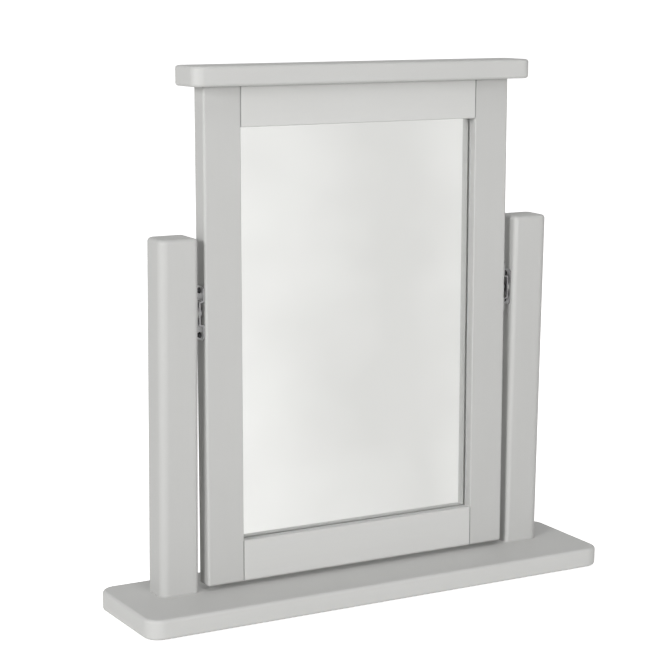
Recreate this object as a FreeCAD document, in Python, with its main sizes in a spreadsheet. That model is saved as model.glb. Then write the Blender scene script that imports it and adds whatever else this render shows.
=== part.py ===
import FreeCAD, Part
import os
from types import SimpleNamespace
import Sketcher

# A dressing table mirror: a framed mirror that tilts between two posts on a plinth board.
# X runs to the viewer's right, Y to the back, Z up, with the origin on the table under the
# middle of the plinth. Lengths are in millimetres, angles in degrees.

SIZES = {
    # Plinth board and the felt pads under it
    "base_end_margin": 40.5,
    "base_depth": 120,
    "base_thickness": 20,
    "base_corner_radius": 16,
    "base_edge_radius": 3.5,
    "pad_diameter": 18,
    "pad_thickness": 1.5,
    "pad_inset": 24,
    # Posts
    "post_width": 40,
    "post_depth": 34,
    "post_above_pivot": 73,
    "post_outer_radius": 8,
    "post_inner_radius": 4.5,
    "post_top_radius": 4,
    "post_setback": 16,
    # Stub tenons and screws that hold the posts on the plinth
    "post_tenon_width": 24,
    "post_tenon_depth": 18,
    "post_tenon_length": 12,
    "post_screw_diameter": 5,
    "post_screw_head": 10,
    "post_screw_grip": 40,
    "post_screw_sink": 0.5,
    "countersink_angle": 90,
    # Fits of glued joints and of screws
    "glue_gap": 0.05,
    "joint_end_gap": 1,
    "screw_hole_clearance": 0.2,
    "pilot_clearance": 0.05,
    "pilot_end_gap": 1,
    # Mirror frame: stiles run through, rails are tenoned between them
    "frame_width": 342,
    "frame_height": 480,
    "frame_lift": 4.5,
    "frame_arris": 2.5,
    "sight_arris": 0.8,
    "stile_width": 39,
    "top_rail_height": 39,
    "bottom_rail_height": 41,
    "lip_depth": 10,
    "glass_ledge": 8,
    "panel_ledge": 8,
    "tenon_thickness": 6,
    "tenon_length": 20,
    "tenon_shoulder": 6,
    # Where the frame turns, and how it leans in use
    "pivot_height": 267.5,
    "pivot_forward": 3.5,
    "rest_tilt": 1.3,
    # Cornice board on top of the frame
    "cornice_thickness": 19,
    "cornice_side_overhang": 17,
    "cornice_front_overhang": 17,
    "cornice_back_overhang": 11,
    "cornice_corner_radius": 10,
    "cornice_edge_radius": 3,
    "tongue_thickness": 8,
    "tongue_height": 7,
    # Mirror glass, the panel behind it and the panel's staples
    "glass_thickness": 3,
    "glass_clearance": 1,
    "glass_arris": 0.5,
    "panel_thickness": 4,
    "panel_recess": 3,
    "panel_clearance": 0.5,
    "staple_crown": 10,
    "staple_width": 1.2,
    "staple_thickness": 0.7,
    "staple_leg": 10,
    "staple_end_inset": 40,
    # Swivel hinge: pressed bracket on the frame, flat plate on the post
    "sheet_thickness": 1.4,
    "hinge_width": 16,
    "hinge_corner_radius": 3,
    "bracket_box_length": 24,
    "bracket_flange_length": 14,
    "bracket_screw_inset": 4.6,
    "bend_radius": 0.8,
    "plate_length": 36,
    "plate_screw_inset": 4.5,
    "hinge_screw_diameter": 3.5,
    "hinge_screw_head": 6,
    "hinge_screw_crown": 3.8,
    "hinge_screw_head_height": 2,
    "hinge_screw_length": 16,
    "recess_span": 3.2,
    "recess_slot": 0.7,
    "recess_depth": 1.1,
    # Stud and washers of the hinge
    "stud_diameter": 6,
    "stud_head_diameter": 11,
    "stud_head_thickness": 1.6,
    "stud_head_clearance": 1.2,
    "stud_tail_diameter": 9,
    "stud_tail_thickness": 1.2,
    "stud_tail_clearance": 0.4,
    "pivot_clearance": 0.05,
    "running_gap": 0.1,
    "washer_clearance": 0.2,
    "spring_height": 1.2,
    "spring_sheet": 0.5,
    "spring_diameter": 10.6,
    "spacer_thickness": 1.5,
    "spacer_diameter": 13,
}

SIDES = {"left": -1, "right": 1}
STAPLE_ROWS = 4
QUARTER_TURN = 90
HALF_TURN = 180
LEVEL_TOLERANCE = 1e-4


class Size:
    """A size of the sheet, or a sum of such sizes: its value now and its expression."""

    def __init__(self, value, text):
        self.value = value
        self.text = text

    def __add__(self, other):
        return Size(self.value + other.value, f"({self.text} + {other.text})")

    def __sub__(self, other):
        return Size(self.value - other.value, f"({self.text} - {other.text})")

    def __neg__(self):
        return Size(-self.value, f"(-{self.text})")

    def __mul__(self, count):
        return Size(self.value * count, f"({self.text} * {count})")

    def __truediv__(self, count):
        return Size(self.value / count, f"({self.text} / {count})")


doc = FreeCAD.newDocument("dressing_table_mirror")
sheet = doc.addObject("Spreadsheet::Sheet", "sizes")
for row, (name, number) in enumerate(SIZES.items(), start=1):
    sheet.set(f"A{row}", name)
    sheet.set(f"B{row}", str(number))
    sheet.setAlias(f"B{row}", name)
doc.recompute()

size = SimpleNamespace(**{name: Size(number, f"sizes.{name}") for name, number in SIZES.items()})
ZERO = Size(0, "0")

# The hinge's stack of sheet, spring, stud head and spacer fills the gap beside the frame
bracket_standoff = (
    size.stud_head_clearance + size.stud_head_thickness + size.spring_height
    + size.running_gap + size.sheet_thickness
)
hinge_gap = bracket_standoff + size.running_gap + size.spacer_thickness + size.sheet_thickness
bracket_end = size.bracket_box_length / 2 + size.bracket_flange_length
bracket_screw_place = bracket_end - size.bracket_screw_inset
plate_screw_place = size.plate_length / 2 - size.plate_screw_inset
hinge_screw_bite = size.hinge_screw_length - size.sheet_thickness

# Places across the part, from the frame outwards
half_frame = size.frame_width / 2
sight_half = half_frame - size.stile_width
post_inner = half_frame + hinge_gap
post_place = post_inner + size.post_width / 2
half_base = post_inner + size.post_width + size.base_end_margin
bracket_screw_seat = half_frame + size.sheet_thickness
plate_face = post_inner - size.sheet_thickness
stud_head_top = half_frame + size.stud_head_clearance
stud_head_under = stud_head_top + size.stud_head_thickness

# Levels above the table
base_top = size.pad_thickness + size.base_thickness
pivot_above_base = size.frame_lift + size.pivot_height
pivot_level = base_top + pivot_above_base
post_height = pivot_above_base + size.post_above_pivot
pivot_depth = size.post_setback - size.pivot_forward

# The frame's own levels and depths, measured from the pivot axis
frame_bottom = -size.pivot_height
frame_top = size.frame_height - size.pivot_height
sight_bottom = frame_bottom + size.bottom_rail_height
sight_top = frame_top - size.top_rail_height
frame_thickness = size.lip_depth + size.glass_thickness + size.panel_thickness + size.panel_recess
frame_front = -(frame_thickness / 2)
frame_back = frame_thickness / 2
glass_seat = frame_front + size.lip_depth
panel_seat = glass_seat + size.glass_thickness
panel_back = panel_seat + size.panel_thickness
panel_reach = size.glass_ledge + size.panel_ledge
staple_place = sight_half + size.glass_ledge + size.panel_ledge / 2
staple_low = sight_bottom + size.staple_end_inset
staple_high = sight_top - size.staple_end_inset
staple_bite = size.staple_leg - size.panel_thickness

# Tenons sit in the middle of the lip's depth, set in from the rails' edges
tenon_middle = frame_front + size.lip_depth / 2
tenon_front = tenon_middle - size.tenon_thickness / 2
tenon_back = tenon_middle + size.tenon_thickness / 2
tenon_levels = {
    "bottom": (frame_bottom + size.tenon_shoulder, sight_bottom - size.tenon_shoulder),
    "top": (sight_top + size.tenon_shoulder, frame_top - size.tenon_shoulder),
}
rail_shoulders = [{"x": sight_half * side, "y": frame_front} for side in SIDES.values()]


def spot(x, y, z, axis="0; 0; 1", angle="0"):
    """Expression of a placement: a point, and a turn in degrees about an axis."""
    point = f"vector({x.text}; {y.text}; {z.text})"
    return f"placement({point}; rotation(vector({axis}); {angle}))"


def outward(x, y, z, side):
    """Placement on a surface that faces a side: its own Z points out, its own X up or down."""
    return spot(x, y, z, "0; 1; 0", str(QUARTER_TURN * side))


# The whole mirror leans back about the pivot axis
TILTED = spot(ZERO, pivot_depth, pivot_level, "1; 0; 0", (-size.rest_tilt).text)

# Pairs of hinge pieces start in the middle of the pivot axis, with their own Z to the right
ALONG_FRAME_AXIS = f"{TILTED} * {outward(ZERO, ZERO, ZERO, 1)}"
ALONG_POST_AXIS = outward(ZERO, pivot_depth, pivot_level, 1)


def new_body(label, placement):
    """Start a sub-part at its place."""
    body = doc.addObject("PartDesign::Body", label)
    body.Label = label
    body.setExpression("Placement", placement)
    return body


def origin_item(body, role):
    """One of a body's own origin planes or axes."""
    return next(item for item in body.Origin.OriginFeatures if item.Role == role)


def sketch_on(body, role, offset=ZERO):
    """Start a sketch on an origin plane of a body, moved along the plane's normal."""
    sketch = body.newObject("Sketcher::SketchObject", "Sketch")
    sketch.AttachmentSupport = [(origin_item(body, role), "")]
    sketch.MapMode = "FlatFace"
    sketch.setExpression("AttachmentOffset.Base.z", offset.text)
    return sketch


def hold_point(sketch, shape, point, x, y):
    """Hold a point of a sketch's shape at its distances from the sketch's origin."""
    for kind, distance in (("DistanceX", x), ("DistanceY", y)):
        rule = Sketcher.Constraint(kind, -1, 1, shape, point, distance.value)
        number = sketch.addConstraint(rule)
        sketch.setExpression(f"Constraints[{number}]", distance.text)


def draw_polygon(sketch, corners):
    """Draw a closed outline of straight lines through corners given as pairs of sizes."""
    spots = [FreeCAD.Vector(x.value, y.value, 0) for x, y in corners]
    ends = spots[1:] + spots[:1]
    lines = [sketch.addGeometry(Part.LineSegment(a, b), False) for a, b in zip(spots, ends)]
    for line, following in zip(lines, lines[1:] + lines[:1]):
        sketch.addConstraint(Sketcher.Constraint("Coincident", line, 2, following, 1))
    for line, (x, y) in zip(lines, corners):
        hold_point(sketch, line, 1, x, y)


def draw_rectangle(sketch, left, right, low, high):
    """Draw a rectangle between two distances across and two up."""
    draw_polygon(sketch, [(left, low), (right, low), (right, high), (left, high)])


def draw_block(sketch, x, y, width, height):
    """Draw a rectangle about a point."""
    draw_rectangle(sketch, x - width / 2, x + width / 2, y - height / 2, y + height / 2)


def draw_circle(sketch, x, y, diameter):
    """Draw a circle about a point."""
    middle = FreeCAD.Vector(x.value, y.value, 0)
    shape = sketch.addGeometry(Part.Circle(middle, FreeCAD.Vector(0, 0, 1), diameter.value / 2), False)
    number = sketch.addConstraint(Sketcher.Constraint("Diameter", shape, diameter.value))
    sketch.setExpression(f"Constraints[{number}]", diameter.text)
    hold_point(sketch, shape, 3, x, y)


def pad(body, sketch, length, symmetric=False):
    """Raise a sketch into a solid along its normal, or to both sides alike."""
    feature = body.newObject("PartDesign::Pad", "Pad")
    feature.Profile = sketch
    feature.SideType = "Symmetric" if symmetric else "One side"
    feature.setExpression("Length", length.text)


def pocket(body, sketch, depth=None, forward=False):
    """Cut a sketch into the solid against its normal, or along it; with no depth, right through."""
    doc.recompute()
    before = body.Tip.Shape.Volume
    feature = body.newObject("PartDesign::Pocket", "Pocket")
    feature.Profile = sketch
    feature.Reversed = forward
    if depth is None:
        feature.Type = "ThroughAll"
    else:
        feature.setExpression("Length", depth.text)
    doc.recompute()
    if feature.Shape.Volume >= before:
        raise ValueError(f"a cut of {body.Label} takes nothing away")


def countersink(body, sketch, diameter, head, forward=False):
    """Drill a sketch's circles right through for screws whose heads sink in, against or along its normal."""
    hole = body.newObject("PartDesign::Hole", "Hole")
    hole.Profile = sketch
    hole.Reversed = forward
    hole.DepthType = "ThroughAll"
    slack = size.screw_hole_clearance * 2
    hole.setExpression("Diameter", (diameter + slack).text)
    hole.HoleCutType = "Countersink"
    hole.setExpression("HoleCutDiameter", (head + slack).text)
    hole.setExpression("HoleCutCountersinkAngle", size.countersink_angle.text)


def revolve(body, sketch):
    """Turn a sketch about its upright axis."""
    feature = body.newObject("PartDesign::Revolution", "Revolution")
    feature.Profile = sketch
    feature.ReferenceAxis = (sketch, ["V_Axis"])


def edge_at(edge, levels):
    """True if an edge lies at the given level on each of the axes that are named."""
    box = edge.BoundBox
    reach = {"x": (box.XMin, box.XMax), "y": (box.YMin, box.YMax), "z": (box.ZMin, box.ZMax)}
    return all(
        abs(end - level.value) < LEVEL_TOLERANCE for axis, level in levels.items() for end in reach[axis]
    )


def pick_edges(shape, choices):
    """Names of a shape's edges that lie at the levels of any of the choices."""
    return [
        f"Edge{number}" for number, edge in enumerate(shape.Edges, start=1)
        if any(edge_at(edge, levels) for levels in choices)
    ]


def dress_edges(body, kind, prop, amount, choices):
    """Fillet or chamfer the edges of a body that the choices of levels pick out."""
    doc.recompute()
    base = body.Tip
    feature = body.newObject(f"PartDesign::{kind}", kind)
    feature.Base = (base, pick_edges(base.Shape, choices))
    feature.setExpression(prop, amount.text)


def fillet(body, radius, *choices):
    """Round the edges that lie at the levels of any of the choices."""
    dress_edges(body, "Fillet", "Radius", radius, choices)


def chamfer(body, width, *choices):
    """Bevel the edges that lie at the levels of any of the choices."""
    dress_edges(body, "Chamfer", "Size", width, choices)


def box_corners(half_length, half_width):
    """Choices of levels for the four upright edges of a block about the Z axis."""
    return [{"x": x, "y": y} for x in (-half_length, half_length) for y in (-half_width, half_width)]


def repeat(body, axis, length, count):
    """Repeat the whole body along one of its own axes, from its first place over a length."""
    doc.recompute()
    pattern = body.newObject("PartDesign::LinearPattern", "LinearPattern")
    pattern.TransformMode = "Whole shape"
    pattern.Direction = (origin_item(body, axis), [""])
    pattern.setExpression("Length", length.text)
    pattern.Occurrences = count
    body.Tip = pattern


def mirror_across(body):
    """Add the body's mirror image on the other side of its own XY plane."""
    doc.recompute()
    image = body.newObject("PartDesign::Mirrored", "Mirrored")
    image.TransformMode = "Whole shape"
    image.MirrorPlane = (origin_item(body, "XY_Plane"), [""])
    body.Tip = image


def make_base_board():
    """Plinth: rounded plan, eased edges, mortises on top, countersunk holes from below."""
    body = new_body("base_board", spot(ZERO, ZERO, size.pad_thickness))
    outline = sketch_on(body, "XY_Plane")
    draw_block(outline, ZERO, ZERO, half_base * 2, size.base_depth)
    pad(body, outline, size.base_thickness)
    fillet(body, size.base_corner_radius, *box_corners(half_base, size.base_depth / 2))
    fillet(body, size.base_edge_radius, {"z": ZERO}, {"z": size.base_thickness})
    mortises = sketch_on(body, "XY_Plane", size.base_thickness)
    screws = sketch_on(body, "XY_Plane")
    for side in SIDES.values():
        draw_block(
            mortises, post_place * side, size.post_setback,
            size.post_tenon_width + size.glue_gap * 2, size.post_tenon_depth + size.glue_gap * 2,
        )
        draw_circle(screws, post_place * side, size.post_setback, size.post_screw_diameter)
    pocket(body, mortises, size.post_tenon_length + size.joint_end_gap)
    mouth = size.post_screw_head + size.post_screw_sink * 2
    countersink(body, screws, size.post_screw_diameter, mouth, forward=True)
    return body


def make_felt_pads():
    """Four round felt pads under the plinth's corners."""
    body = new_body("felt_pads", spot(ZERO, ZERO, ZERO))
    rounds = sketch_on(body, "XY_Plane")
    for side in SIDES.values():
        for end in SIDES.values():
            x = (half_base - size.pad_inset) * side
            y = (size.base_depth / 2 - size.pad_inset) * end
            draw_circle(rounds, x, y, size.pad_diameter)
    pad(body, rounds, size.pad_thickness)
    return body


def make_post(name, side):
    """Post, rounder outside than inside, with a stub tenon, drilled for its screw and its hinge plate."""
    body = new_body(f"{name}_post", spot(post_place * side, size.post_setback, base_top))
    half_width = size.post_width / 2
    outline = sketch_on(body, "XY_Plane")
    draw_block(outline, ZERO, ZERO, size.post_width, size.post_depth)
    pad(body, outline, post_height)
    half_depth = size.post_depth / 2
    rounding = {half_width * side: size.post_outer_radius, half_width * -side: size.post_inner_radius}
    for edge, radius in rounding.items():
        fillet(body, radius, {"x": edge, "y": -half_depth}, {"x": edge, "y": half_depth})
    fillet(body, size.post_top_radius, {"z": post_height})
    tenon = sketch_on(body, "XY_Plane", -size.post_tenon_length)
    draw_block(tenon, ZERO, ZERO, size.post_tenon_width, size.post_tenon_depth)
    pad(body, tenon, size.post_tenon_length)
    pilot = sketch_on(body, "XY_Plane", -size.post_tenon_length)
    draw_circle(pilot, ZERO, ZERO, size.post_screw_diameter + size.pilot_clearance * 2)
    pocket(body, pilot, size.post_tenon_length + size.post_screw_grip + size.pilot_end_gap, forward=True)
    tail = sketch_on(body, "YZ_Plane", half_width * -side)
    draw_circle(
        tail, -size.pivot_forward, pivot_above_base, size.stud_tail_diameter + size.stud_tail_clearance * 2,
    )
    pocket(body, tail, size.stud_tail_thickness + size.stud_tail_clearance, forward=side > 0)
    screws = sketch_on(body, "YZ_Plane", half_width * -side)
    for end in SIDES.values():
        level = pivot_above_base + plate_screw_place * end
        draw_circle(screws, -size.pivot_forward, level, size.hinge_screw_diameter + size.pilot_clearance * 2)
    pocket(body, screws, hinge_screw_bite + size.pilot_end_gap, forward=side > 0)
    return body


def cut_recess(body, level):
    """Cut a cross-shaped driver recess into a screw's head from a level down."""
    arm = size.recess_span / 2
    slot = size.recess_slot / 2
    cross = sketch_on(body, "XY_Plane", level)
    draw_polygon(cross, [
        (arm, -slot), (arm, slot), (slot, slot), (slot, arm), (-slot, arm), (-slot, slot),
        (-arm, slot), (-arm, -slot), (-slot, -slot), (-slot, -arm), (slot, -arm), (slot, -slot),
    ])
    pocket(body, cross, size.recess_depth)


def make_post_screws():
    """Countersunk screws, one up into each post from under the plinth."""
    under = size.pad_thickness + size.post_screw_sink
    body = new_body("post_screws", spot(-post_place, size.post_setback, under, "1; 0; 0", str(HALF_TURN)))
    length = size.base_thickness - size.post_screw_sink + size.post_screw_grip
    shank = size.post_screw_diameter / 2
    head = size.post_screw_head / 2
    profile = sketch_on(body, "XZ_Plane")
    draw_polygon(profile, [
        (ZERO, -length), (shank, -length), (shank, shank - head), (head, ZERO), (ZERO, ZERO),
    ])
    revolve(body, profile)
    cut_recess(body, ZERO)
    repeat(body, "X_Axis", post_place * 2, len(SIDES))
    return body


def make_stile(name, side):
    """Upright frame member: a rebated section, mortised for the rails, drilled for its hinge bracket."""
    body = new_body(f"{name}_stile", TILTED)
    edge = half_frame * side
    sight = sight_half * side
    glass_edge = sight + size.glass_ledge * side
    panel_edge = sight + panel_reach * side
    section = sketch_on(body, "XY_Plane", frame_bottom)
    draw_polygon(section, [
        (sight, frame_front), (edge, frame_front), (edge, frame_back), (panel_edge, frame_back),
        (panel_edge, panel_seat), (glass_edge, panel_seat), (glass_edge, glass_seat), (sight, glass_seat),
    ])
    pad(body, section, size.frame_height)
    fillet(
        body, size.frame_arris, {"x": edge, "y": frame_front}, {"x": edge, "y": frame_back},
        {"x": edge, "z": frame_bottom}, {"y": frame_front, "z": frame_bottom},
        {"y": frame_back, "z": frame_bottom},
    )
    chamfer(body, size.sight_arris, {"x": sight, "y": frame_front})
    mortises = sketch_on(body, "YZ_Plane", sight)
    for low, high in tenon_levels.values():
        draw_rectangle(
            mortises, tenon_front - size.glue_gap, tenon_back + size.glue_gap,
            low - size.glue_gap, high + size.glue_gap,
        )
    pocket(body, mortises, size.tenon_length + size.joint_end_gap, forward=side > 0)
    screws = sketch_on(body, "YZ_Plane", edge)
    for end in SIDES.values():
        level = bracket_screw_place * end
        draw_circle(screws, ZERO, level, size.hinge_screw_diameter + size.pilot_clearance * 2)
    pocket(body, screws, hinge_screw_bite + size.pilot_end_gap, forward=side < 0)
    slots = sketch_on(body, "XZ_Plane", -panel_seat)
    draw_staple_slots(slots, side)
    pocket(body, slots, staple_bite + size.pilot_end_gap, forward=True)
    return body


def make_rail(name, sight_level, outer_level, inward):
    """Cross member of the frame: rebated like the stiles, stepped to fit their rebates, tenoned."""
    body = new_body(f"{name}_rail", TILTED)
    slabs = [
        (frame_front, glass_seat, ZERO),
        (glass_seat, panel_seat, size.glass_ledge),
        (panel_seat, frame_back, panel_reach),
    ]
    for front, back, step in slabs:
        section = sketch_on(body, "YZ_Plane")
        low, high = sorted((outer_level, sight_level - step * inward), key=lambda level: level.value)
        draw_rectangle(section, front, back, low, high)
        pad(body, section, sight_half * 2 + step * 2, symmetric=True)
    tenon = sketch_on(body, "YZ_Plane")
    low, high = tenon_levels[name]
    draw_rectangle(tenon, tenon_front, tenon_back, low, high)
    pad(body, tenon, sight_half * 2 + size.tenon_length * 2, symmetric=True)
    return body


def make_top_rail():
    """Upper rail, with a tongue along its top for the cornice board."""
    body = make_rail("top", sight_top, frame_top, -1)
    chamfer(body, size.sight_arris, {"y": frame_front, "z": sight_top}, *rail_shoulders)
    tongue = sketch_on(body, "XY_Plane", frame_top)
    draw_block(tongue, ZERO, ZERO, sight_half * 2, size.tongue_thickness)
    pad(body, tongue, size.tongue_height)
    return body


def make_bottom_rail():
    """Lower rail, with its outer edges eased like the stiles'."""
    body = make_rail("bottom", sight_bottom, frame_bottom, 1)
    outer_edges = [{"y": depth, "z": frame_bottom} for depth in (frame_front, frame_back)]
    fillet(body, size.frame_arris, *outer_edges)
    chamfer(body, size.sight_arris, {"y": frame_front, "z": sight_bottom}, *rail_shoulders)
    return body


def make_cornice_board():
    """Overhanging top board with rounded plan corners, eased edges and a groove underneath."""
    body = new_body("cornice_board", TILTED)
    half_width = half_frame + size.cornice_side_overhang
    front = frame_front - size.cornice_front_overhang
    back = frame_back + size.cornice_back_overhang
    outline = sketch_on(body, "XY_Plane", frame_top)
    draw_rectangle(outline, -half_width, half_width, front, back)
    pad(body, outline, size.cornice_thickness)
    corners = [{"x": x, "y": y} for x in (-half_width, half_width) for y in (front, back)]
    fillet(body, size.cornice_corner_radius, *corners)
    fillet(body, size.cornice_edge_radius, {"z": frame_top}, {"z": frame_top + size.cornice_thickness})
    groove = sketch_on(body, "XY_Plane", frame_top)
    slack = size.glue_gap * 2
    draw_block(groove, ZERO, ZERO, sight_half * 2 + slack, size.tongue_thickness + slack)
    pocket(body, groove, size.tongue_height + size.joint_end_gap, forward=True)
    return body


def make_mirror_glass():
    """Silvered glass with seamed edges, against the back of the frame's lip."""
    reach = size.glass_ledge - size.glass_clearance
    body = new_body("mirror_glass", TILTED)
    outline = sketch_on(body, "XZ_Plane", -panel_seat)
    draw_rectangle(outline, -sight_half - reach, sight_half + reach, sight_bottom - reach, sight_top + reach)
    pad(body, outline, size.glass_thickness)
    chamfer(body, size.glass_arris, {"y": glass_seat}, {"y": panel_seat})
    return body


def draw_staple_slots(sketch, side):
    """Draw the slots for the legs of one column of staples."""
    width = size.staple_width + size.glue_gap * 2
    height = size.staple_thickness + size.glue_gap * 2
    leg = (size.staple_crown - size.staple_thickness) / 2
    for row in range(STAPLE_ROWS):
        level = staple_low + (staple_high - staple_low) * (row / (STAPLE_ROWS - 1))
        draw_block(sketch, staple_place * side, level - leg, width, height)
        draw_block(sketch, staple_place * side, level + leg, width, height)


def make_back_panel():
    """Thin board behind the glass, stapled along its two long edges."""
    reach = panel_reach - size.panel_clearance
    body = new_body("back_panel", TILTED)
    outline = sketch_on(body, "XZ_Plane", -panel_back)
    draw_rectangle(outline, -sight_half - reach, sight_half + reach, sight_bottom - reach, sight_top + reach)
    pad(body, outline, size.panel_thickness)
    slots = sketch_on(body, "XZ_Plane", -panel_back)
    for side in SIDES.values():
        draw_staple_slots(slots, side)
    pocket(body, slots, size.panel_thickness, forward=True)
    return body


def make_back_panel_staples():
    """Staples in two columns that hold the back panel."""
    first = spot(-staple_place, panel_back, staple_high, "1; 0; 0", str(-QUARTER_TURN))
    body = new_body("back_panel_staples", f"{TILTED} * {first}")
    outer = size.staple_crown / 2
    inner = outer - size.staple_thickness
    tip = -size.staple_leg
    profile = sketch_on(body, "YZ_Plane")
    draw_polygon(profile, [
        (-outer, tip), (-inner, tip), (-inner, ZERO), (inner, ZERO), (inner, tip), (outer, tip),
        (outer, size.staple_thickness), (-outer, size.staple_thickness),
    ])
    pad(body, profile, size.staple_width, symmetric=True)
    repeat(body, "X_Axis", staple_place * 2, len(SIDES))
    repeat(body, "Y_Axis", staple_high - staple_low, STAPLE_ROWS)
    return body


def make_frame_bracket(name, side):
    """Pressed bracket of a hinge: a raised box on two flanges, with a bearing hole in its web."""
    body = new_body(f"{name}_frame_bracket", f"{TILTED} * {outward(half_frame * side, ZERO, ZERO, side)}")
    wall = size.bracket_box_length / 2
    hollow = wall - size.sheet_thickness
    end = bracket_end
    under = bracket_standoff - size.sheet_thickness
    profile = sketch_on(body, "XZ_Plane")
    draw_polygon(profile, [
        (-end, ZERO), (-hollow, ZERO), (-hollow, under), (hollow, under), (hollow, ZERO), (end, ZERO),
        (end, size.sheet_thickness), (wall, size.sheet_thickness), (wall, bracket_standoff),
        (-wall, bracket_standoff), (-wall, size.sheet_thickness), (-end, size.sheet_thickness),
    ])
    pad(body, profile, size.hinge_width, symmetric=True)
    inner_bends = [{"x": x, "z": z} for x, z in (
        (-hollow, under), (hollow, under), (-wall, size.sheet_thickness), (wall, size.sheet_thickness),
    )]
    outer_bends = [{"x": x, "z": z} for x, z in (
        (-hollow, ZERO), (hollow, ZERO), (-wall, bracket_standoff), (wall, bracket_standoff),
    )]
    fillet(body, size.bend_radius, *inner_bends)
    fillet(body, size.bend_radius + size.sheet_thickness, *outer_bends)
    fillet(body, size.hinge_corner_radius, *box_corners(end, size.hinge_width / 2))
    holes = sketch_on(body, "XY_Plane")
    draw_circle(holes, ZERO, ZERO, size.stud_diameter + size.pivot_clearance * 2)
    for way in SIDES.values():
        clear = size.hinge_screw_diameter + size.screw_hole_clearance * 2
        draw_circle(holes, bracket_screw_place * way, ZERO, clear)
    pocket(body, holes, forward=True)
    return body


def make_post_plate(name, side):
    """Flat plate of a hinge on the post, riveted to the stud, with countersunk screw holes."""
    body = new_body(f"{name}_post_plate", outward(post_inner * side, pivot_depth, pivot_level, -side))
    outline = sketch_on(body, "XY_Plane")
    draw_block(outline, ZERO, ZERO, size.plate_length, size.hinge_width)
    pad(body, outline, size.sheet_thickness)
    fillet(body, size.hinge_corner_radius, *box_corners(size.plate_length / 2, size.hinge_width / 2))
    bore = sketch_on(body, "XY_Plane")
    draw_circle(bore, ZERO, ZERO, size.stud_diameter + size.pivot_clearance * 2)
    pocket(body, bore, forward=True)
    screws = sketch_on(body, "XY_Plane", size.sheet_thickness)
    for way in SIDES.values():
        draw_circle(screws, plate_screw_place * way, ZERO, size.hinge_screw_diameter)
    countersink(body, screws, size.hinge_screw_diameter, size.hinge_screw_head)
    return body


def make_hinge_screws(label, axis, spacing, tip, head, top):
    """Wood screws, two on each side of the part, from a tip along the axis to the outline of a head."""
    body = new_body(label, f"{axis} * {spot(-(spacing / 2), ZERO, ZERO)}")
    profile = sketch_on(body, "XZ_Plane")
    draw_polygon(profile, [(ZERO, tip), (size.hinge_screw_diameter / 2, tip), *head, (ZERO, top)])
    revolve(body, profile)
    cut_recess(body, top)
    repeat(body, "X_Axis", spacing, len(SIDES))
    mirror_across(body)
    return body


def make_bracket_screws():
    """Pan-head screws, whose heads stand on the flanges of the frame's brackets."""
    seat = bracket_screw_seat
    top = seat + size.hinge_screw_head_height
    head = [
        (size.hinge_screw_diameter / 2, seat), (size.hinge_screw_head / 2, seat),
        (size.hinge_screw_crown / 2, top),
    ]
    tip = seat - size.hinge_screw_length
    return make_hinge_screws("bracket_screws", ALONG_FRAME_AXIS, bracket_screw_place * 2, tip, head, top)


def make_plate_screws():
    """Countersunk screws, flush with the posts' plates so that the brackets turn clear of them."""
    shank = size.hinge_screw_diameter / 2
    rim = size.hinge_screw_head / 2
    top = -plate_face
    head = [(shank, top - (rim - shank)), (rim, top)]
    tip = top - size.hinge_screw_length
    return make_hinge_screws("plate_screws", ALONG_POST_AXIS, plate_screw_place * 2, tip, head, top)


def make_pivot_studs():
    """Studs of the hinges: head inside the bracket, shank through its web, tail riveted over the plate."""
    body = new_body("pivot_studs", ALONG_POST_AXIS)
    shank = size.stud_diameter / 2
    head = size.stud_head_diameter / 2
    tail = size.stud_tail_diameter / 2
    foot = post_inner + size.stud_tail_thickness
    profile = sketch_on(body, "XZ_Plane")
    draw_polygon(profile, [
        (ZERO, stud_head_top), (head, stud_head_top), (head, stud_head_under), (shank, stud_head_under),
        (shank, post_inner), (tail, post_inner), (tail, foot), (ZERO, foot),
    ])
    revolve(body, profile)
    mirror_across(body)
    return body


def make_spring_washers():
    """Conical spring washers under the studs' heads, whose rims press on the brackets' webs."""
    body = new_body("spring_washers", ALONG_POST_AXIS)
    inner = size.stud_diameter / 2 + size.washer_clearance
    outer = size.spring_diameter / 2
    rim = stud_head_under + size.spring_height
    profile = sketch_on(body, "XZ_Plane")
    draw_polygon(profile, [
        (inner, stud_head_under), (outer, rim - size.spring_sheet), (outer, rim),
        (inner, stud_head_under + size.spring_sheet),
    ])
    revolve(body, profile)
    mirror_across(body)
    return body


def make_spacer_washers():
    """Flat washers between brackets and plates."""
    body = new_body("spacer_washers", ALONG_POST_AXIS)
    ring = sketch_on(body, "XY_Plane", plate_face - size.spacer_thickness)
    draw_circle(ring, ZERO, ZERO, size.spacer_diameter)
    draw_circle(ring, ZERO, ZERO, size.stud_diameter + size.washer_clearance * 2)
    pad(body, ring, size.spacer_thickness)
    mirror_across(body)
    return body


parts = [
    make_base_board(), make_felt_pads(), make_post_screws(),
    make_top_rail(), make_bottom_rail(), make_cornice_board(),
    make_mirror_glass(), make_back_panel(), make_back_panel_staples(),
    make_pivot_studs(), make_spring_washers(), make_spacer_washers(),
    make_bracket_screws(), make_plate_screws(),
]
for side_name, side_sign in SIDES.items():
    parts.append(make_post(side_name, side_sign))
    parts.append(make_stile(side_name, side_sign))
    parts.append(make_frame_bracket(side_name, side_sign))
    parts.append(make_post_plate(side_name, side_sign))

doc.recompute()
for item in doc.Objects:
    if "Invalid" in item.State or "Error" in item.State:
        raise ValueError(f"{item.Label} failed to build: {item.State}")
for part in parts:
    if part.Shape.isNull() or not part.Shape.isValid():
        raise ValueError(f"{part.Label} has no valid shape")

os.makedirs("parts", exist_ok=True)
for part in parts:
    part.Shape.exportStep(os.path.join("parts", f"{part.Label}.step"))
    print(part.Label, len(part.Shape.Solids), round(part.Shape.Volume))
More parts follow.
